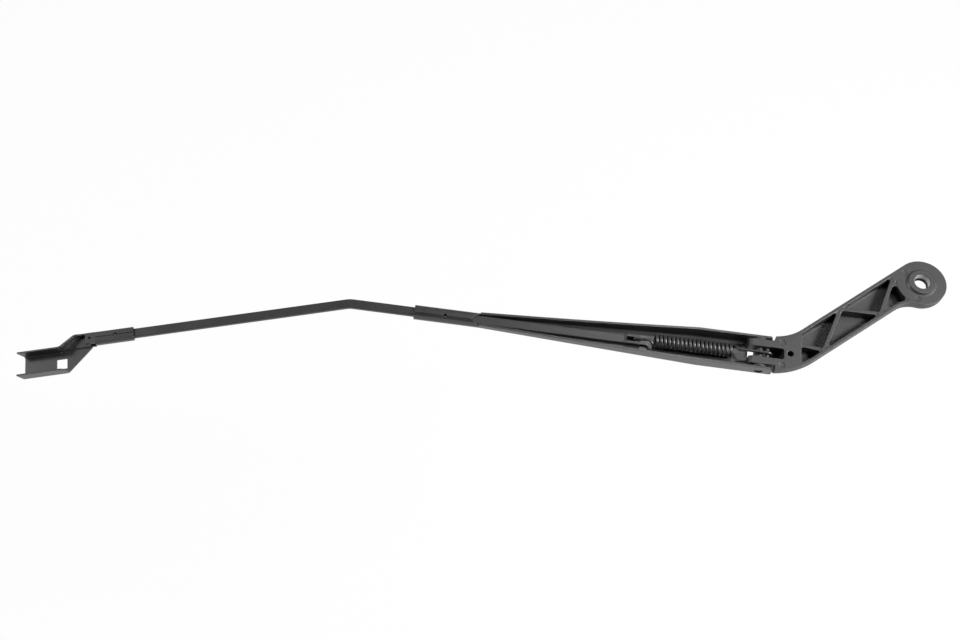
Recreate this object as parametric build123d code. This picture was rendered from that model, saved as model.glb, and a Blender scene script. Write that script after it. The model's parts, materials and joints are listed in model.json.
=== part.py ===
from build123d import *
from math import cos, pi, radians, sin, sqrt
import os

# Wiper arm, seen with its glass side up. All sizes are in millimetres.
# The origin is on the spindle bore's axis at the collar's face, Z runs out of the glass side,
# and X runs along the arm channel with the blade end at minus X.

# Clearances
press_clearance = 0.0
running_clearance = 0.05
side_clearance = 0.15
crimp_clearance = 0.1
hook_clearance = 0.2
fold_clearance = 0.25
leg_clearance = 0.5

# Spindle boss
bore_diameter = 12.0
bore_length = 5.0
bore_taper_length = 2.2
stud_hole_diameter = 9.8
nut_recess_diameter = 24.0
collar_diameter = 20.0
collar_height = 1.8
collar_foot = 1.0
boss_diameter = 37.0

# Mounting head
head_thickness = 13.0
handle_angle = 41.2
handle_width = 23.9
arm_offset = 74.2
elbow_run = 22.6
hinge_height = 7.2
shoulder_width = 27.3
shoulder_setback = 10.9
far_elbow_radius = 34.0
near_elbow_radius = 54.0
boss_blend_radius = 20.0
outer_edge_radius = 8.5

# Pockets and zigzag ribs in the head
rim_width = 2.4
rib_width = 2.8
rib_drop = 0.3
pocket_floor = 4.5
pocket_setback = 18.6
pocket_corner_radius = 1.2
boss_pocket_radius = 2.6
near_rib_stations = (97.6, 43.0)
far_rib_stations = (65.2, 16.5)
rib_pad = 4.0
mark_diameter = 4.3
mark_depth = 0.3
mark_radius = 14.4
mark_angles = (151.0, 259.0)
blind_hole_diameter = 4.6
blind_hole_depth = 8.0

# Hinge tongue and its slot
tongue_width = 19.8
tongue_reach = 8.6
tongue_root = 3.0
tongue_drop = 6.0
tongue_nose_radius = 3.0
slot_width = 8.5
slot_reach = 17.2
slot_floor = 2.5
slot_mouth = 3.3
hinge_pin_diameter = 6.0
bush_wall = 0.8
bush_flange_diameter = 11.0
anchor_pin_diameter = 3.2
anchor_wall = 0.15
pin_recess = 0.8

# Arm channel
channel_sheet = 1.7
channel_width = 26.8
channel_bend_radius = 4.0
channel_height = 12.0
channel_lift = 0.3
channel_end_radius = 9.6
web_setback = 7.6
taper_start = 45.0
crimp_start = 206.5
crimp_length = 49.5
crimp_bend_radius = 2.6
crimp_flap_rise = 1.0
crimp_seam = 0.6
crimp_seam_offset = 1.6
crimp_mouth = 7.0
stake_diameter = 3.6
stake_reach = 232.6
channel_tip_height = 6.4
channel_sag = 1.0

# Flat bar
bar_width = 7.3
bar_thickness = 3.0
bar_edge_radius = 0.75
bar_end_reach = 86.6
bar_bend_reach = 305.3
bar_bend_angle = 17.2
bar_bend_radius = 16.0
bar_tip_run = 193.0
joggle_reach = 98.8
joggle_length = 2.0
joggle_rise = 1.0
hook_slot_width = 3.5
hook_slot_length = 7.5
hook_strip = 3.4

# Blade connector, laid out along the bar's far run
connector_sheet = 1.2
connector_width = 19.2
connector_height = 9.0
connector_bend_radius = 2.5
flange_end_radius = 6.0
connector_offset = 14.6
connector_start = 161.0
connector_flap_end = 189.0
connector_tab_end = 196.0
connector_bow_start = 204.0
connector_bow_end = 215.0
connector_near_corner = 209.2
connector_web_end = 241.2
connector_tip = 244.8
connector_step_offset = 5.2
connector_step_run = 1.4
neck_corner = 191.8
button_hole_length = 7.6
button_hole_width = 8.2
button_hole_station = 214.4
button_hole_offset = 15.6
tab_hole_diameter = 2.4
tab_hole_station = 193.0
connector_stake_diameter = 3.0
connector_stake_station = 174.0

# Tension spring
wire_diameter = 2.2
coil_diameter = 10.0
coil_pitch = 3.0
coil_turns = 19.5
coil_reach = 18.7
leg_crank = 6.0
crank_turns = 0.4
hook_drop = 4.2
wire_sides = 8
coil_steps = 14
crank_steps = 6

# Levels and places that follow from the sizes above
face_z = -collar_height
floor_z = face_z - head_thickness
hinge_z = floor_z + hinge_height
arm_y = -arm_offset
boss_radius = boss_diameter / 2
near_edge = boss_radius - handle_width
handle_middle = boss_radius - handle_width / 2
handle_run = (arm_offset + handle_middle * cos(radians(handle_angle))) / sin(radians(handle_angle))
elbow_x = -handle_run * cos(radians(handle_angle)) - handle_middle * sin(radians(handle_angle))
hinge_x = elbow_x - elbow_run
shoulder_x = hinge_x + shoulder_setback
web_z = floor_z + channel_lift
bar_z = web_z + channel_sheet + crimp_clearance
bush_diameter = hinge_pin_diameter + 2 * (running_clearance + bush_wall)
bush_flange = (channel_width - tongue_width) / 2 - channel_sheet - side_clearance
anchor_x = hinge_x + (bush_diameter + anchor_pin_diameter) / 2 + anchor_wall
leg_z = hinge_z + hinge_pin_diameter / 2 + leg_clearance + wire_diameter / 2
anchor_z = leg_z - (anchor_pin_diameter + wire_diameter) / 2 - hook_clearance
joggle_top = bar_z + bar_thickness + joggle_rise
coil_z = joggle_top + wire_diameter / 2 + hook_clearance

# How a cut or an added body sits on its point
BASE = (Align.CENTER, Align.CENTER, Align.MIN)
TOP = (Align.CENTER, Align.CENTER, Align.MAX)


def on_handle(along, across):
    """A plan point, along the handle from the bore and across it to the far side."""
    a = radians(handle_angle)
    return (-along * cos(a) - across * sin(a), -along * sin(a) + across * cos(a))


def handle_coordinates(x, y):
    """The same plan point as distances along and across the handle."""
    a = radians(handle_angle)
    return (-x * cos(a) - y * sin(a), -x * sin(a) + y * cos(a))


def strip_between(start, end, width):
    """A flat strip of the given width between two plan points."""
    run = Vector(*end) - Vector(*start)
    middle = (Vector(*start) + Vector(*end)) / 2
    turn = run.get_signed_angle(Vector(1, 0, 0), Vector(0, 0, -1))
    return Pos(middle.X, middle.Y) * Rot(0, 0, turn) * Rectangle(run.length, width)


def slab(width, profile):
    """A side profile in the XZ plane, made solid across the arm's centre line."""
    return Pos(0, arm_y, 0) * extrude(profile, amount=width / 2, both=True)


def cross_rod(x, z, diameter, length):
    """A rod across the arm, centred on its centre line."""
    return Pos(x, arm_y, z) * Rot(90, 0, 0) * Cylinder(diameter / 2, length)


def make_head_outline():
    """Plan of the boss, the handle and the elbow up to the shoulders."""
    shoulder_far = (shoulder_x, arm_y + shoulder_width / 2)
    shoulder_near = (shoulder_x, arm_y - shoulder_width / 2)

    # The elbow's two arcs leave the handle's edges tangentially and end at the shoulders
    far_along, far_across = handle_coordinates(*shoulder_far)
    far_step = far_across - boss_radius
    far_start = far_along - sqrt(2 * far_elbow_radius * far_step - far_step**2)
    near_along, near_across = handle_coordinates(*shoulder_near)
    near_step = near_across - near_edge
    near_start = near_along - sqrt(2 * near_elbow_radius * near_step - near_step**2)

    # The blend between the near edge and the round boss
    blend_across = near_edge - boss_blend_radius
    blend_reach = boss_radius + boss_blend_radius
    blend_along = sqrt(blend_reach**2 - blend_across**2)
    share = boss_radius / blend_reach
    blend_on_boss = on_handle(blend_along * share, blend_across * share)

    edges = [
        Line(shoulder_near, shoulder_far),
        RadiusArc(shoulder_far, on_handle(far_start, boss_radius), -far_elbow_radius),
        Line(on_handle(far_start, boss_radius), on_handle(0, boss_radius)),
        ThreePointArc(on_handle(0, boss_radius), on_handle(-boss_radius, 0), blend_on_boss),
        RadiusArc(blend_on_boss, on_handle(blend_along, near_edge), -boss_blend_radius),
        Line(on_handle(blend_along, near_edge), on_handle(near_start, near_edge)),
        RadiusArc(on_handle(near_start, near_edge), shoulder_near, near_elbow_radius),
    ]
    return make_face(edges)


def make_pockets(outline):
    """Plan of the pocketed area between the elbow's end wall and the boss."""
    end_x = shoulder_x + pocket_setback
    inside = offset(outline, -rim_width)
    beyond_wall = Pos(end_x, arm_y) * Rectangle(200, 300, align=(Align.MIN, Align.CENTER))
    far_land = strip_between(on_handle(-20, boss_radius), on_handle(far_rib_stations[1], boss_radius), 14)
    area = inside & beyond_wall
    area -= Circle(boss_radius)
    area -= far_land
    return area


def make_ribs(outline):
    """Plan of the zigzag ribs and the square pads at their corners."""
    near_line = near_edge + rim_width
    far_line = boss_radius - rim_width
    wall_along = handle_coordinates(shoulder_x + pocket_setback, arm_y + 9.2)
    nodes = [
        on_handle(*wall_along),
        on_handle(near_rib_stations[0], near_line),
        on_handle(far_rib_stations[0], far_line),
        on_handle(near_rib_stations[1], near_line),
        on_handle(far_rib_stations[1], far_line - rim_width),
    ]
    ribs = Sketch()
    for start, end in zip(nodes[:-1], nodes[1:]):
        ribs += strip_between(start, end, rib_width)
    pads = Sketch()
    for node in nodes[1:4]:
        pads += Pos(*node) * Rot(0, 0, handle_angle) * Rectangle(rib_pad, rib_pad)
    return ribs & outline, pads & outline


def make_tongue():
    """Side profile of the forked tongue: a rounded nose, and a toe that stops on the channel's web."""
    left = hinge_x - tongue_reach
    right = shoulder_x + tongue_root
    bottom = hinge_z - tongue_drop
    toe_z = web_z + channel_sheet + fold_clearance
    web_end = Vector(-web_setback, web_z + channel_sheet - hinge_z)
    swing = web_end.length - fold_clearance
    toe_x = hinge_x - sqrt(swing**2 - (hinge_z - toe_z) ** 2)
    heel_x = hinge_x - sqrt(swing**2 - tongue_drop**2)
    middle = web_end.normalized() * swing
    profile = make_face(
        [
            Line((left, face_z), (left, toe_z)),
            Line((left, toe_z), (toe_x, toe_z)),
            ThreePointArc((toe_x, toe_z), (hinge_x + middle.X, hinge_z + middle.Y), (heel_x, bottom)),
            Line((heel_x, bottom), (right, bottom)),
            Line((right, bottom), (right, face_z)),
            Line((right, face_z), (left, face_z)),
        ]
    )
    nose = profile.vertices().group_by(Axis.Y)[-1].sort_by(Axis.X)[0]
    profile = fillet(nose, tongue_nose_radius)
    return slab(tongue_width, Plane.XZ * profile)


def make_head():
    outline = make_head_outline()
    head = Pos(0, 0, floor_z) * extrude(outline, amount=head_thickness)
    lower = head.edges().group_by(Axis.Z)[0].filter_by(lambda e: e.center().X > shoulder_x + 0.1)
    head = fillet(lower, outer_edge_radius)

    # The pocketed back of the handle
    depth = head_thickness - pocket_floor
    pockets = make_pockets(outline)
    ribs, pads = make_ribs(outline)
    head -= Pos(0, 0, face_z - rib_drop) * extrude(pockets - pads, amount=rib_drop)
    cells = (pockets - ribs - pads).faces().sort_by(lambda cell: cell.center().length)
    for cell in cells:
        corner = boss_pocket_radius if cell is cells[0] else pocket_corner_radius
        rounded = offset(offset(Sketch() + cell, -corner), corner)
        head -= Pos(0, 0, face_z - depth) * extrude(rounded, amount=depth)

    # The collar with its chamfered foot, the bore, its taper and the nut's recess
    head += Pos(0, 0, face_z) * Cylinder(collar_diameter / 2, collar_height, align=BASE)
    foot = Cone(collar_diameter / 2 + collar_foot, collar_diameter / 2, collar_foot, align=BASE)
    head += Pos(0, 0, face_z) * foot
    recess_depth = collar_height + head_thickness - bore_length - bore_taper_length
    head -= Pos(0, 0, -bore_length) * Cylinder(bore_diameter / 2, bore_length, align=BASE)
    taper = Cone(stud_hole_diameter / 2, bore_diameter / 2, bore_taper_length, align=BASE)
    head -= Pos(0, 0, -bore_length - bore_taper_length) * taper
    head -= Pos(0, 0, floor_z) * Cylinder(nut_recess_diameter / 2, recess_depth, align=BASE)

    # The tongue, its slot with the open mouth, the bush holes and the anchor pin's hole
    head += make_tongue()
    bottom = hinge_z - tongue_drop
    slot_length = tongue_reach + slot_reach
    slot_depth = face_z - bottom - slot_floor
    slot = Box(slot_length, slot_width, slot_depth, align=(Align.MIN, Align.CENTER, Align.MIN))
    slot = fillet(slot.edges().filter_by(Axis.Z).sort_by(Axis.X)[-2:], slot_width / 5)
    head -= Pos(hinge_x - tongue_reach, arm_y, bottom + slot_floor) * slot
    mouth_length = tongue_reach - slot_mouth
    mouth = Box(mouth_length, slot_width, slot_floor, align=(Align.MIN, Align.CENTER, Align.MIN))
    head -= Pos(hinge_x - tongue_reach, arm_y, bottom) * mouth
    head -= cross_rod(hinge_x, hinge_z, bush_diameter + 2 * press_clearance, tongue_width)
    head -= cross_rod(anchor_x, anchor_z, anchor_pin_diameter + 2 * press_clearance, tongue_width)

    # The blind hole and the shallow round marks on the face
    hole_x = shoulder_x + shoulder_setback
    hole = Cylinder(blind_hole_diameter / 2, blind_hole_depth, align=TOP)
    head -= Pos(hole_x, arm_y + 1, face_z) * hole
    mark = Cylinder(mark_diameter / 2, mark_depth, align=TOP)
    mark_x = hinge_x + slot_reach - 1.4
    for across in (-1, 1):
        head -= Pos(mark_x, arm_y + across * (slot_width / 2 + 4.9), face_z) * mark
    for angle in mark_angles:
        spot = Vector(mark_radius, 0, face_z).rotate(Axis.Z, angle)
        head -= Pos(spot) * mark
    return head


def channel_section(x, width, bend_radius, inset):
    """The channel's cross-section at one station, set in by the sheet for its hollow."""
    plane = Plane(origin=(x, arm_y, web_z + inset), x_dir=(0, 1, 0), z_dir=(1, 0, 0))
    section = Rectangle(width - 2 * inset, 2 * channel_height, align=(Align.CENTER, Align.MIN))
    section = fillet(section.vertices().sort_by(Axis.Y)[:2], bend_radius - inset)
    return plane * section


def crimp_profile(width, sheet, bend_radius, flap_rise, seam):
    """Cross-section of a sheet folded round the bar; the near flap stands up at the seam."""
    half = width / 2
    bar_top = sheet + 2 * crimp_clearance + bar_thickness
    top = bar_top + sheet
    outer = make_face(
        Polyline(
            (-half, 0),
            (half, 0),
            (half, top),
            (seam, top),
            (seam, top + flap_rise),
            (-0.35 * width, top - 0.15 * sheet),
            (-half, bar_top - 0.3 * bar_thickness),
            close=True,
        )
    )
    sides = outer.vertices().filter_by(lambda v: abs(v.X) > half - 0.01)
    bends = sides.filter_by(lambda v: v.Y in (0, top) or v.Y < sheet or v.Y > bar_top)
    outer = fillet(bends, bend_radius)
    hollow = Rectangle(
        bar_width + 2 * crimp_clearance, bar_thickness + 2 * crimp_clearance, align=(Align.CENTER, Align.MIN)
    )
    return outer - Pos(0, sheet) * hollow


def make_channel():
    left = hinge_x - crimp_start
    crimp_width = bar_width + 2 * crimp_clearance + 2 * channel_sheet
    stations = (
        (hinge_x + channel_end_radius, channel_width, channel_bend_radius),
        (hinge_x - taper_start, channel_width, channel_bend_radius),
        (left, crimp_width, crimp_bend_radius),
    )
    outer = loft([channel_section(*s, 0) for s in stations], ruled=True)
    inner = loft([channel_section(*s, channel_sheet) for s in stations], ruled=True)
    channel = outer - inner

    # Side profile: flange tops that fall towards the crimp, and ends rounded about the hinge
    flange_top = web_z + channel_height
    tip_top = web_z + channel_tip_height
    end_low = hinge_x + sqrt(channel_end_radius**2 - (hinge_z - web_z) ** 2)
    end_high = hinge_x + sqrt(channel_end_radius**2 - (flange_top - hinge_z) ** 2)
    side = make_face(
        [
            Line((left, web_z), (end_low, web_z)),
            ThreePointArc((end_low, web_z), (hinge_x + channel_end_radius, hinge_z), (end_high, flange_top)),
            Line((end_high, flange_top), (hinge_x - taper_start, flange_top)),
            SagittaArc((hinge_x - taper_start, flange_top), (left, tip_top), channel_sag),
            Line((left, tip_top), (left, web_z)),
        ]
    )
    channel &= slab(2 * channel_width, Plane.XZ * side)

    # The web stops short of the tongue, and the pin's holes go through both flanges
    notch = Box(
        web_setback + channel_end_radius,
        channel_width - 2 * channel_sheet,
        2 * (hinge_z - web_z),
        align=(Align.MIN, Align.CENTER, Align.CENTER),
    )
    channel -= Pos(hinge_x - web_setback, arm_y, web_z) * notch
    channel -= cross_rod(hinge_x, hinge_z, hinge_pin_diameter + 2 * press_clearance, channel_width)

    # The crimp round the bar, with its seam, its open mouth and the stake's window
    plane = Plane(origin=(left - crimp_length, arm_y, web_z), x_dir=(0, 1, 0), z_dir=(1, 0, 0))
    seam_y = arm_y - crimp_seam_offset
    profile = crimp_profile(
        crimp_width, channel_sheet, crimp_bend_radius, crimp_flap_rise, -crimp_seam_offset
    )
    crimp = extrude(plane * profile, amount=crimp_length)
    bar_top = bar_z + bar_thickness + crimp_clearance / 2
    cut_height = 3 * channel_sheet
    seam = Box(crimp_length, crimp_seam, cut_height, align=(Align.MAX, Align.CENTER, Align.MIN))
    crimp -= Pos(left, seam_y, bar_top) * seam
    mouth = make_face(
        Polyline((-crimp_mouth, -crimp_seam_offset), (0, crimp_width / 2), (0, -crimp_width / 2), close=True)
    )
    crimp -= Pos(left, arm_y, bar_top) * extrude(mouth, amount=cut_height)
    window = Cylinder(stake_diameter / 2, cut_height, align=BASE)
    crimp -= Pos(hinge_x - stake_reach, seam_y, bar_top) * window
    return channel + crimp


def make_bar():
    end_x = hinge_x - joggle_reach
    bend_x = hinge_x - bar_bend_reach
    a = radians(bar_bend_angle)
    middle_z = bar_z + bar_thickness / 2
    tip = (bend_x - bar_tip_run * cos(a), arm_y - bar_tip_run * sin(a), middle_z)
    path = FilletPolyline((end_x, arm_y, middle_z), (bend_x, arm_y, middle_z), tip, radius=bar_bend_radius)
    plane = Plane(origin=(end_x, arm_y, middle_z), x_dir=(0, 1, 0), z_dir=(-1, 0, 0))
    bar = sweep(plane * RectangleRounded(bar_width, bar_thickness, bar_edge_radius), path=path)

    # The spring end steps up off the web and carries the hook's slot
    ramp_x = end_x + joggle_length
    tail_x = hinge_x - bar_end_reach
    low = bar_z
    high = bar_z + joggle_rise
    side = make_face(
        Polyline(
            (end_x, low),
            (ramp_x, high),
            (tail_x, high),
            (tail_x, high + bar_thickness),
            (ramp_x, high + bar_thickness),
            (end_x, low + bar_thickness),
            close=True,
        )
    )
    tail = slab(bar_width, Plane.XZ * side)
    slot = SlotOverall(hook_slot_length, hook_slot_width)
    slot_x = tail_x - hook_strip - hook_slot_length / 2
    tail -= Pos(slot_x, arm_y, low) * extrude(slot, amount=2 * bar_thickness)
    return bar + tail


def make_connector():
    # Local frame: X along the bar's far run from its bend, Y to the near side, Z up from the floor
    a = radians(bar_bend_angle)
    frame = Plane(
        origin=(hinge_x - bar_bend_reach, arm_y, floor_z), x_dir=(-cos(a), -sin(a), 0), z_dir=(0, 0, 1)
    )
    crimp_half = bar_width / 2 + crimp_clearance + connector_sheet
    crimp_low = bar_z - floor_z - crimp_clearance - connector_sheet
    far_y = connector_offset - connector_width / 2
    near_y = connector_offset + connector_width / 2

    # The open channel that takes the blade's adapter
    section = RectangleRounded(connector_width, 2 * connector_height, connector_bend_radius)
    inner_width = connector_width - 2 * connector_sheet
    inner_radius = connector_bend_radius - connector_sheet
    hollow = RectangleRounded(inner_width, 2 * (connector_height - connector_sheet), inner_radius)
    lower_half = Rectangle(connector_width, connector_height, align=(Align.CENTER, Align.MAX))
    section = (section - hollow) & lower_half
    across = Plane(
        origin=(connector_near_corner, connector_offset, connector_height), x_dir=(0, 1, 0), z_dir=(1, 0, 0)
    )
    trough = extrude(across * section, amount=connector_tip - connector_near_corner)
    slant = make_face(
        Polyline(
            (connector_web_end, -connector_sheet),
            (connector_web_end, connector_sheet),
            (connector_tip, connector_height),
            (connector_tip + connector_height, connector_height),
            (connector_tip + connector_height, -connector_sheet),
            close=True,
        )
    )
    trough -= extrude(Plane.XZ * slant, amount=2 * connector_width, both=True)
    round_end = trough.edges().filter_by(Axis.Y).group_by(Axis.X)[0].sort_by(Axis.Z)[-2:].sort_by(Axis.Y)[-1]
    trough = fillet(round_end, flange_end_radius)
    bow_room = Box(
        2 * (connector_bow_end - connector_near_corner), 2 * connector_bend_radius, 2 * connector_height
    )
    trough -= Pos(connector_near_corner, far_y, connector_height) * bow_room

    # The stepped neck plate between the trough and the crimp
    step = make_face(
        Polyline(
            (-crimp_half, crimp_low),
            (connector_step_offset - connector_step_run / 2, crimp_low),
            (connector_step_offset + connector_step_run / 2, 0),
            (near_y, 0),
            (near_y, connector_sheet),
            (connector_step_offset + connector_step_run / 2, connector_sheet),
            (connector_step_offset - connector_step_run / 2, crimp_low + connector_sheet),
            (-crimp_half, crimp_low + connector_sheet),
            close=True,
        )
    )
    plate_plane = Plane(origin=(connector_start, 0, 0), x_dir=(0, 1, 0), z_dir=(1, 0, 0))
    plate = extrude(plate_plane * step, amount=connector_tip - connector_start)
    plan = make_face(
        Polyline(
            (connector_flap_end, -crimp_half),
            (connector_bow_start, -crimp_half),
            (connector_bow_end, far_y + connector_sheet),
            (connector_bow_end, near_y - connector_bend_radius),
            (connector_near_corner, near_y - connector_bend_radius / 2),
            (neck_corner, crimp_half),
            (connector_flap_end, crimp_half),
            close=True,
        )
    )
    plate &= extrude(plan, amount=connector_height)

    # The bowed wall that carries the far flange over to the crimp
    centre_far = far_y + connector_sheet / 2
    centre_crimp = -crimp_half + connector_sheet / 2
    bow = FilletPolyline(
        (connector_flap_end, centre_crimp),
        (connector_bow_start, centre_crimp),
        (connector_bow_end - 1, centre_far),
        (connector_bow_end + 4, centre_far),
        radius=5,
    )
    wall = extrude(trace(bow, connector_sheet), amount=connector_height)
    crimp_top = crimp_low + 2 * connector_sheet + 2 * crimp_clearance + bar_thickness
    wall_side = make_face(
        Polyline(
            (connector_flap_end, crimp_low),
            (connector_bow_start, crimp_low),
            (connector_bow_end, 0.5 * connector_sheet),
            (connector_bow_end + 4, 0.5 * connector_sheet),
            (connector_bow_end + 4, connector_height),
            (connector_bow_end - 2, connector_height),
            (connector_bow_start - 3, crimp_top - connector_sheet),
            (connector_flap_end, crimp_top - connector_sheet),
            close=True,
        )
    )
    wall &= Pos(0, 0, 0) * extrude(Plane.XZ * wall_side, amount=connector_width, both=True)

    # The crimp, whose far flap runs on as a full-width tab
    crimp_plane = Plane(origin=(connector_start, 0, crimp_low), x_dir=(0, -1, 0), z_dir=(-1, 0, 0))
    profile = crimp_profile(2 * crimp_half, connector_sheet, connector_sheet + 0.4, 0.5, 0)
    crimp = extrude(crimp_plane * profile, amount=connector_start - connector_flap_end)
    cut_z = crimp_top - connector_sheet
    seam_length = connector_flap_end - connector_start
    seam = Box(seam_length, crimp_seam, 3 * connector_sheet, align=(Align.MIN, Align.CENTER, Align.MIN))
    crimp -= Pos(connector_start, 0, cut_z) * seam
    stake = Cylinder(connector_stake_diameter / 2, 3 * connector_sheet, align=BASE)
    crimp -= Pos(connector_stake_station, 0, cut_z) * stake
    tab_length = connector_tab_end - connector_flap_end
    tab_width = 2 * crimp_half - connector_sheet
    tab = Box(tab_length, tab_width, connector_sheet, align=(Align.MIN, Align.MIN, Align.MIN))
    tab = Pos(connector_flap_end, connector_sheet / 2 - crimp_half, cut_z) * tab
    tab -= Pos(tab_hole_station, 0, cut_z) * Cylinder(tab_hole_diameter / 2, connector_sheet, align=BASE)

    # The square hole for the adapter's button
    button = Box(button_hole_length, button_hole_width, 4 * connector_sheet)
    connector = trough + plate + wall + crimp + tab
    connector -= Pos(button_hole_station, button_hole_offset, 0) * button
    return frame * connector


def coil_point(x, turn, radius, level):
    """A point on the spring's wire; turn 0 is on the near side."""
    a = pi + 2 * pi * turn
    return (x, arm_y + radius * cos(a), level + radius * sin(a))


def make_spring():
    radius = (coil_diameter - wire_diameter) / 2
    right_x = hinge_x - coil_reach
    left_x = right_x - coil_turns * coil_pitch
    wire = wire_diameter / 2

    # The left hook stands in the bar's slot and bends over its end strip
    hook_x = hinge_x - bar_end_reach - hook_strip - wire - hook_clearance
    bend = 0.6 * wire_diameter
    points = [
        (hook_x, arm_y, coil_z - hook_drop),
        (hook_x, arm_y, coil_z - bend),
        (hook_x + 0.3 * bend, arm_y, coil_z - 0.3 * bend),
        (hook_x + bend, arm_y, coil_z),
    ]

    # The legs spiral between the spring's axis and the coil, and the coil runs in short straight steps
    for step in range(crank_steps, 0, -1):
        share = step / crank_steps
        turn = -crank_turns * share
        points.append(coil_point(left_x - leg_crank * share, turn, radius * (1 - share), coil_z))
    for step in range(int(coil_turns * coil_steps) + 1):
        turn = step / coil_steps
        points.append(coil_point(left_x + coil_pitch * turn, turn, radius, coil_z))
    for step in range(1, crank_steps + 1):
        share = step / crank_steps
        turn = coil_turns + crank_turns * share
        level = coil_z + (leg_z - coil_z) * share
        points.append(coil_point(right_x + leg_crank * share, turn, radius * (1 - share), level))

    # The right hook goes half round the anchor pin
    for step in range(9):
        around = pi / 2 - pi * step / 8
        reach = leg_z - anchor_z
        points.append((anchor_x + reach * cos(around), arm_y, anchor_z + reach * sin(around)))
    path = Polyline(*points)
    section = Plane(origin=path @ 0, z_dir=path % 0) * RegularPolygon(wire, wire_sides)
    return sweep(section, path=path, transition=Transition.RIGHT)


def make_bush(side):
    """A flanged bush; its side is 1 for the far prong and -1 for the near one."""
    barrel_length = (tongue_width - slot_width) / 2
    barrel = Cylinder(bush_diameter / 2, barrel_length, align=BASE)
    flange = Pos(0, 0, barrel_length) * Cylinder(bush_flange_diameter / 2, bush_flange, align=BASE)
    hole = Cylinder(hinge_pin_diameter / 2 + running_clearance, barrel_length + bush_flange, align=BASE)
    place = Plane(origin=(hinge_x, arm_y + side * slot_width / 2, hinge_z), z_dir=(0, side, 0))
    return place * (barrel + flange - hole)


nodes = {
    "mounting_head": make_head(),
    "arm_channel": make_channel(),
    "flat_bar": make_bar(),
    "blade_connector": make_connector(),
    "tension_spring": make_spring(),
    "hinge_pin": cross_rod(hinge_x, hinge_z, hinge_pin_diameter, channel_width - 2 * pin_recess),
    "spring_anchor_pin": cross_rod(anchor_x, anchor_z, anchor_pin_diameter, tongue_width),
    "hinge_bush_front": make_bush(-1),
    "hinge_bush_rear": make_bush(1),
}

os.makedirs("parts", exist_ok=True)
for name, shape in nodes.items():
    shape.label = name
    export_step(shape, f"parts/{name}.step")
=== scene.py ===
import bpy
import json
from math import cos, pi, radians, sin
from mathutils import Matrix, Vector


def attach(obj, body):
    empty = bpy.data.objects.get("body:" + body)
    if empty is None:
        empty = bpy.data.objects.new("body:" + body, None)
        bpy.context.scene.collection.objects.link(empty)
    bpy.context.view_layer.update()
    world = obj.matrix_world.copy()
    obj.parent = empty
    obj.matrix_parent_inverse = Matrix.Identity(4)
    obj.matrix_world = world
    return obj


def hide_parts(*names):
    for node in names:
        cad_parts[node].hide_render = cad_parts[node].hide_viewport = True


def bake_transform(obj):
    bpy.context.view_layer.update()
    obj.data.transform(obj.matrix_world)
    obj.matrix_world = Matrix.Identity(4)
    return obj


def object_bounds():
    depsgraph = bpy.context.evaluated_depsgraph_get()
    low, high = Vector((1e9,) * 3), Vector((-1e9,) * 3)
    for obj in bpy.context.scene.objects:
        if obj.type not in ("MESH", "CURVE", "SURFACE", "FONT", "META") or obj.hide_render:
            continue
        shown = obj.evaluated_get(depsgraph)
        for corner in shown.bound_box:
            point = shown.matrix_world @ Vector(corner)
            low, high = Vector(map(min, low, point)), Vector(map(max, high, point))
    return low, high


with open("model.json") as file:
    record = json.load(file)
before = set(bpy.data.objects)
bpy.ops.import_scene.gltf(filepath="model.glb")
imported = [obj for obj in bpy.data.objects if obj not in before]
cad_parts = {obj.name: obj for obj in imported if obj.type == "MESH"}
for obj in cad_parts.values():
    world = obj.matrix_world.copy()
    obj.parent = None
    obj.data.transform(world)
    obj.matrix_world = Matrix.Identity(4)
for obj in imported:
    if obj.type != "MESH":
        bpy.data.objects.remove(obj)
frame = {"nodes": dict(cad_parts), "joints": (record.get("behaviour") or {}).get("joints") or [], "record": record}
cad_box = [list(corner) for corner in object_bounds()]
nodes = frame["nodes"]
bpy.ops.object.select_all(action="DESELECT")

# The camera stands above the arm, on its near side and a little to the right.
# The arm is held level with its glass side up, well above a white table.
aim = Vector((-0.3241, -0.0719, -0.0148))
lens_distance = 0.9
lens_length = 45
sensor_width = 36
camera_elevation = radians(63)
camera_turn = radians(8.25)
level_run = lens_distance * cos(camera_elevation)
rise = lens_distance * sin(camera_elevation)
bpy.ops.object.camera_add(
    location=aim + Vector((level_run * sin(camera_turn), -level_run * cos(camera_turn), rise)),
    rotation=(pi / 2 - camera_elevation, 0, camera_turn),
)
camera = bpy.context.object
camera.data.lens = lens_length
camera.data.sensor_width = sensor_width
bpy.context.scene.camera = camera
bpy.context.scene.view_settings.view_transform = "Standard"


# The table is a wide sheet of matt white board, low enough for the arm to fold straight down.
# It shows white to the camera and in the arm's gloss, and keeps a faint shadow.
class Value:
    """A shader value: sums on it add Math nodes, and node() adds any other node."""

    def __init__(self, tree, socket=None):
        self.tree = tree
        self.socket = socket

    def node(self, kind, settings=(), sockets=(), out=0):
        made = self.tree.nodes.new(kind)
        for name, setting in dict(settings).items():
            setattr(made, name, setting)
        for name, given in dict(sockets).items():
            if isinstance(given, Value):
                self.tree.links.new(given.socket, made.inputs[name])
            else:
                made.inputs[name].default_value = given
        return Value(self.tree, made.outputs[out]) if made.outputs else None

    def maths(self, operation, first, second):
        return self.node("ShaderNodeMath", {"operation": operation}, {0: first, 1: second})

    def __add__(self, other):
        return self.maths("ADD", self, other)

    def __radd__(self, other):
        return self.maths("ADD", other, self)

    def __sub__(self, other):
        return self.maths("SUBTRACT", self, other)

    def __rsub__(self, other):
        return self.maths("SUBTRACT", other, self)

    def __mul__(self, other):
        return self.maths("MULTIPLY", self, other)

    def __rmul__(self, other):
        return self.maths("MULTIPLY", other, self)

    def __gt__(self, other):
        return self.maths("GREATER_THAN", self, other)


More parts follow.
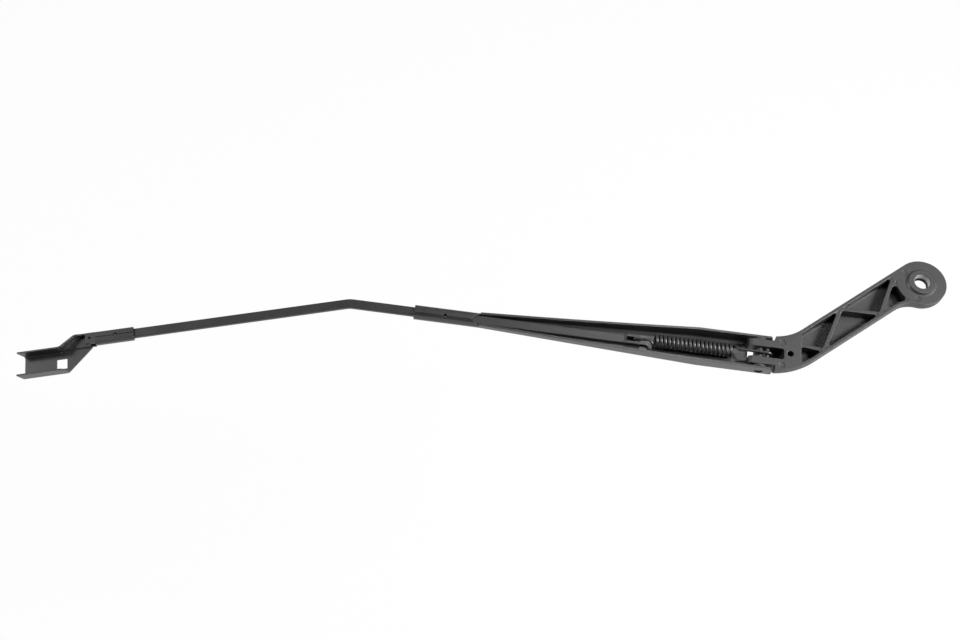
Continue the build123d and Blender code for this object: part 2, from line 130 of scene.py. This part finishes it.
def new_shader(owner):
    """Empties the owner's node tree and gives the value that its nodes start from."""
    owner.use_nodes = True
    owner.node_tree.nodes.clear()
    return Value(owner.node_tree)


hinge = Vector(frame["joints"][0]["pos_m"])
arm_reach = hinge.x - cad_box[0][0]
fold_room = 0.03
floor_level = hinge.z - arm_reach - fold_room
table_width = 60
board_colour = (0.85, 0.85, 0.85, 1)
white = (1, 1, 1, 1)
white_part = 0.93
bpy.ops.mesh.primitive_plane_add(size=table_width, location=(aim.x, aim.y, floor_level))
table = bpy.context.object
table.name = "table"
board = bpy.data.materials.new("white_board")
root = new_shader(board)
matt = root.node("ShaderNodeBsdfDiffuse", {}, {"Color": board_colour})
glow = root.node("ShaderNodeEmission", {}, {"Color": white, "Strength": 1.0})
seen = root.node("ShaderNodeLightPath", out="Is Camera Ray")
mirrored = root.node("ShaderNodeLightPath", out="Is Glossy Ray")
through = root.node("ShaderNodeLightPath", out="Is Transmission Ray")
white_share = (seen + mirrored + through) * white_part
mixed = root.node("ShaderNodeMixShader", {}, {"Fac": white_share, 1: matt, 2: glow})
root.node("ShaderNodeOutputMaterial", {}, {"Surface": mixed})
table.data.materials.append(board)

# Studio light: a soft box high on the right, a weaker one high on the left, a small one behind.
# The room is pale low down all round and dark overhead, so that recesses stay deep.
for name, place, side, power in (
    ("right_soft_box", Vector((1.03, -0.04, 1.10)), 0.5, 45.0),
    ("left_soft_box", Vector((-1.84, 0.05, 1.10)), 0.5, 19.0),
    ("back_soft_box", Vector((-0.11, 0.58, 1.33)), 0.3, 2.4),
):
    facing = (place - aim).to_track_quat("Z", "Y").to_euler()
    bpy.ops.object.light_add(type="AREA", location=place, rotation=facing)
    box = bpy.context.object
    box.name = name
    box.data.size = side
    box.data.energy = power
pale_up_to = 0.16
dark_from = 0.34
overhead = 0.02
room = bpy.data.worlds.new("room")
root = new_shader(room)
direction = root.node("ShaderNodeTexCoord", out="Generated")
height = root.node("ShaderNodeSeparateXYZ", {}, {"Vector": direction}, out="Z")
pale_band = root.node(
    "ShaderNodeMapRange",
    {},
    {
        "Value": height,
        "From Min": pale_up_to,
        "From Max": dark_from,
        "To Min": 1.0,
        "To Max": overhead,
    },
)
walls = root.node("ShaderNodeBackground", {}, {"Color": white, "Strength": pale_band})
root.node("ShaderNodeOutputWorld", {}, {"Surface": walls})
bpy.context.scene.world = room


# The mounting head is a light-alloy die casting with a satin black powder coat.
# The coat flows into a fine orange peel, thins along the edges and holds a little dust.
def satin_coat(name, tone, gloss, peel, peel_scale, rub, round_off, lacquer=0.6, grain=(1, 1, 1)):
    """A black finish: its tone and roughness, its peel, how far edges are rubbed and rounded,
    how much clear lacquer lies on it, and how the peel is stretched along x, y and z."""
    cloud_scale, speck_scale = 60, 620
    cloud_share, dust_share, dust_cut = 0.5, 0.4, 0.68
    edge_gain = 3
    deep = [tone * share for share in (0.7, 0.7, 0.72)]
    dusty = [tone * share for share in (1.9, 1.9, 1.94)]
    peel_height = 0.0001
    gloss_spread = 0.16
    lacquer_least, lacquer_spread = 0.7, 0.6

    coat = bpy.data.materials.new(name)
    root = new_shader(coat)
    place = root.node("ShaderNodeTexCoord", out="Object")
    drawn = root.node("ShaderNodeMapping", {}, {"Vector": place, "Scale": grain})
    pebble = root.node(
        "ShaderNodeTexNoise", {}, {"Vector": drawn, "Scale": peel_scale, "Detail": 3}
    )
    cloud = root.node(
        "ShaderNodeTexNoise",
        {},
        {"Vector": place, "Scale": cloud_scale, "Detail": 5, "Roughness": 0.6},
    )
    speck = root.node(
        "ShaderNodeTexNoise", {}, {"Vector": place, "Scale": speck_scale, "Detail": 2}
    )
    eased = root.node("ShaderNodeBevel", {"samples": 6}, {"Radius": round_off})
    plain = root.node("ShaderNodeNewGeometry", out="Normal")
    facing = root.node(
        "ShaderNodeVectorMath", {"operation": "DOT_PRODUCT"}, {0: eased, 1: plain}, out="Value"
    )
    edge = (1 - facing) * edge_gain * cloud
    dust = (speck > dust_cut) * dust_share * cloud
    shade = root.node(
        "ShaderNodeMix",
        {"data_type": "RGBA"},
        {"Factor": cloud * cloud_share + dust + edge * rub, "A": (*deep, 1), "B": (*dusty, 1)},
        out="Result",
    )
    bumped = root.node(
        "ShaderNodeBump",
        {},
        {"Strength": peel, "Distance": peel_height, "Height": pebble, "Normal": eased},
    )
    skin = root.node(
        "ShaderNodeBsdfPrincipled",
        {},
        {
            "Base Color": shade,
            "Roughness": gloss - gloss_spread / 2 + cloud * gloss_spread,
            "Specular IOR Level": 1.0,
            "Coat Weight": lacquer and lacquer * (lacquer_least + cloud * lacquer_spread),
            "Coat Roughness": 0.25,
            "Normal": bumped,
        },
    )
    root.node("ShaderNodeOutputMaterial", {}, {"Surface": skin})
    return coat


nodes["mounting_head"].data.materials[0] = satin_coat(
    "cast_head_coat",
    tone=0.006,
    gloss=0.54,
    peel=0.45,
    peel_scale=1500,
    rub=0.4,
    round_off=0.0007,
    lacquer=0.15,
)

# The bore's wall is the casting's own bare metal, broached with fine upright teeth after coating.
# They bite on the spindle's knurl, and a short lead-in at the collar's face is left plain.
bore = next(mount for mount in frame["record"]["mounts"] if mount["name"] == "spindle_bore")
bore_radius = bore["dims"]["r_mm"] / 1000
bore_length = bore["dims"]["length_mm"] / 1000
wall_gap = 0.00001
tooth_count = 42
tooth_depth = 0.0003
tooth_root = bore_radius - 0.00015
lead_in = 0.0004
dull_alloy = (0.34, 0.34, 0.35, 1)
bright_alloy = (0.62, 0.62, 0.63, 1)
score_depth = 0.00003


def pick(piece, chosen):
    """Selects the corners that the test accepts, and leaves the piece in edit mode."""
    bpy.ops.object.mode_set(mode="OBJECT")
    for part in (piece.data.polygons, piece.data.edges, piece.data.vertices):
        part.foreach_set("select", [False] * len(part))
    for corner in piece.data.vertices:
        corner.select = chosen(corner)
    bpy.ops.object.mode_set(mode="EDIT")


bpy.ops.mesh.primitive_circle_add(vertices=2 * tooth_count, radius=bore_radius - wall_gap)
toothed_bore = bpy.context.object
toothed_bore.name = "toothed_bore"
bpy.ops.object.mode_set(mode="EDIT")
bpy.ops.mesh.select_mode(type="VERT")
bpy.ops.mesh.primitive_circle_add(vertices=2 * tooth_count, radius=tooth_root)
pick(toothed_bore, lambda corner: corner.index >= 2 * tooth_count and corner.index % 2)
tooth_tip = (tooth_root - tooth_depth) / tooth_root
bpy.ops.transform.resize(value=(tooth_tip, tooth_tip, 1))
bpy.ops.mesh.select_all(action="SELECT")
bpy.ops.mesh.bridge_edge_loops()
bpy.ops.mesh.select_all(action="SELECT")
bpy.ops.mesh.extrude_region_move(TRANSFORM_OT_translate={"value": (0, 0, bore_length - lead_in)})
bpy.ops.mesh.select_all(action="SELECT")
bpy.ops.transform.translate(value=(0, 0, -bore_length))
bpy.ops.mesh.normals_make_consistent(inside=False)
bpy.ops.object.mode_set(mode="OBJECT")
bare_metal = bpy.data.materials.new("bare_alloy")
root = new_shader(bare_metal)
place = root.node("ShaderNodeTexCoord", out="Object")
upright = root.node("ShaderNodeMapping", {}, {"Vector": place, "Scale": (1, 1, 0.1)})
scratch = root.node("ShaderNodeTexNoise", {}, {"Vector": upright, "Scale": 6000, "Detail": 3})
tarnish = root.node("ShaderNodeTexNoise", {}, {"Vector": place, "Scale": 700, "Detail": 3})
alloy = root.node(
    "ShaderNodeMix",
    {"data_type": "RGBA"},
    {"Factor": tarnish, "A": dull_alloy, "B": bright_alloy},
    out="Result",
)
scored = root.node(
    "ShaderNodeBump", {}, {"Strength": 0.3, "Distance": score_depth, "Height": scratch}
)
skin = root.node(
    "ShaderNodeBsdfPrincipled",
    {},
    {"Base Color": alloy, "Metallic": 1.0, "Roughness": 0.28 + tarnish * 0.25, "Normal": scored},
)
root.node("ShaderNodeOutputMaterial", {}, {"Surface": skin})
toothed_bore.data.materials.append(bare_metal)
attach(toothed_bore, "head")

# The hinge bushes are moulded in dark, slightly waxy plastic and pressed into the two prongs.
# Only the rims of their flanges show, between the tongue and the channel's walls.
for bush, plastic in (
    ("hinge_bush_front", "front_bush_plastic"),
    ("hinge_bush_rear", "rear_bush_plastic"),
):
    nodes[bush].data.materials[0] = satin_coat(
        plastic,
        tone=0.006,
        gloss=0.7,
        peel=0.3,
        peel_scale=2400,
        rub=0.1,
        round_off=0.0003,
        lacquer=0,
    )

# The two pins are drawn steel rod, blackened. One is the hinge, riveted in the channel's walls,
# and the thinner one crosses the slot in the tongue to hold the spring's hook.
for pin, black in (("hinge_pin", "hinge_pin_black"), ("spring_anchor_pin", "anchor_pin_black")):
    nodes[pin].data.materials[0] = satin_coat(
        black, tone=0.005, gloss=0.4, peel=0.12, peel_scale=2000, rub=0.3, round_off=0.0004
    )

# The arm channel is pressed from sheet steel, with its tip crimped round the bar, and then coated.
# The sheet keeps faint drawing lines along its length under the coat.
nodes["arm_channel"].data.materials[0] = satin_coat(
    "channel_coat",
    tone=0.006,
    gloss=0.46,
    peel=0.20,
    peel_scale=1300,
    rub=0.3,
    round_off=0.0004,
    grain=(0.4, 1, 1),
)

# The flat bar is drawn steel strip, bent edgewise and coated with the channel.
# Its long faces keep the fine lines of the drawing die, and its long edges are well rounded.
bar_coat = satin_coat(
    "bar_coat",
    tone=0.006,
    gloss=0.48,
    peel=0.20,
    peel_scale=1500,
    rub=0.3,
    round_off=0.0006,
    lacquer=0.2,
    grain=(0.25, 1, 1),
)
nodes["flat_bar"].data.materials[0] = bar_coat

# The blade connector is a small steel pressing, wrapped and staked on the bar's end.
# Its coat is like the channel's, with a little more peel and no drawing lines.
nodes["blade_connector"].data.materials[0] = satin_coat(
    "connector_coat",
    tone=0.006,
    gloss=0.48,
    peel=0.22,
    peel_scale=1500,
    rub=0.3,
    round_off=0.0004,
)

# At each crimp a punch drives a little of the bar up into a round window, to lock it there.
# The two upset buttons are the bar's own steel under the same coat.
bar_top = -0.0097
button_radius = 0.0012
button_height = 0.0012
button_sink = 0.0003
button_edge = 0.0007
button_sides = 24
edge_steps = 4
smooth_angle = radians(40)
channel_stake = Vector((hinge.x - 0.2326, hinge.y - 0.0016, 0))
bar_bend = Vector((hinge.x - 0.3053, hinge.y, 0))
bend_angle = radians(17.2)
far_run = Vector((-cos(bend_angle), -sin(bend_angle), 0))
stake_past_bend = 0.174
connector_stake = bar_bend + stake_past_bend * far_run
bpy.ops.mesh.primitive_cylinder_add(
    vertices=button_sides, radius=button_radius, depth=button_height
)
channel_button = bpy.context.object
channel_button.name = "channel_stake_button"
pick(channel_button, lambda corner: corner.co.z > 0)
bpy.ops.mesh.bevel(offset=button_edge, segments=edge_steps, affect="EDGES")
bpy.ops.object.mode_set(mode="OBJECT")
bpy.ops.object.shade_smooth_by_angle(angle=smooth_angle)
channel_button.data.materials.append(bar_coat)
bpy.ops.object.duplicate(linked=False)
connector_button = bpy.context.object
connector_button.name = "connector_stake_button"
for button, spot in ((channel_button, channel_stake), (connector_button, connector_stake)):
    bpy.ops.object.select_all(action="DESELECT")
    button.select_set(True)
    bpy.context.view_layer.objects.active = button
    button.location = spot + Vector((0, 0, bar_top - button_sink + button_height / 2))
    bpy.ops.object.transform_apply(location=True, rotation=False, scale=False)
    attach(button, "arm")

# The tension spring is cold-wound from round steel wire and oil-blackened.
# Its left hook sits in the bar's slot and its right hook goes round the anchor pin.
wire = 0.0022
coil_radius = 0.0039
coil_pitch = 0.003
coil_turns = 19.5
coil_level = -0.0074
leg_level = -0.003
coil_right = hinge.x - 0.0187
coil_left = coil_right - coil_turns * coil_pitch
leg_crank = 0.006
crank_turns = 0.4
hook_x = hinge.x - 0.0913
hook_foot = coil_level - 0.0042
hook_lead = 0.002
anchor = Vector((hinge.x + 0.0056, hinge.y, -0.0059))
hook_reach = leg_level - anchor.z
hook_steps = 6
points_per_turn = 12
# The smooth line runs inside its points, so the ring of points is made larger by as much.
ring_swell = 1 / (0.75 + 0.25 * cos(2 * pi / points_per_turn))


def on_coil(x, turn, radius, level):
    angle = pi + 2 * pi * turn
    ring = radius * ring_swell
    return (x, hinge.y + ring * cos(angle), level + ring * sin(angle))


route = [
    (hook_x, hinge.y, hook_foot),
    (hook_x, hinge.y, coil_level),
    (hook_x + hook_lead, hinge.y, coil_level),
]
for share in (1, 0.75, 0.5, 0.25):
    x = coil_left - leg_crank * share
    route.append(on_coil(x, -crank_turns * share, coil_radius * (1 - share), coil_level))
for step in range(int(coil_turns * points_per_turn) + 1):
    turn = step / points_per_turn
    route.append(on_coil(coil_left + coil_pitch * turn, turn, coil_radius, coil_level))
for share in (0.25, 0.5, 0.75, 1):
    level = coil_level + (leg_level - coil_level) * share
    turn = coil_turns + crank_turns * share
    route.append(on_coil(coil_right + leg_crank * share, turn, coil_radius * (1 - share), level))
leg_start = coil_right + leg_crank
for share in (0.25, 0.5, 0.75):
    route.append((leg_start + share * (anchor.x - leg_start), hinge.y, leg_level))
for step in range(hook_steps + 1):
    around = pi / 2 - pi * step / hook_steps
    x = anchor.x + hook_reach * cos(around)
    route.append((x, hinge.y, anchor.z + hook_reach * sin(around)))
bpy.ops.curve.primitive_nurbs_path_add(radius=1)
tension_coil = bpy.context.object
tension_coil.name = "tension_coil"
strand = tension_coil.data.splines[0]
strand.points.add(len(route) - len(strand.points))
for point, at in zip(strand.points, route):
    point.co = (*at, 1)
strand.order_u = 3
strand.use_endpoint_u = True
strand.resolution_u = 4
tension_coil.data.bevel_depth = wire / 2
tension_coil.data.bevel_resolution = 4
tension_coil.data.use_fill_caps = True
bpy.ops.object.convert(target="MESH")
bpy.ops.object.shade_smooth_by_angle(angle=smooth_angle)
tension_coil.data.materials.clear()
tension_coil.data.materials.append(
    satin_coat(
        "spring_black",
        tone=0.006,
        gloss=0.46,
        peel=0.15,
        peel_scale=2600,
        rub=0.1,
        round_off=0.0002,
        lacquer=0.2,
    )
)
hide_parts("tension_spring")
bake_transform(tension_coil)
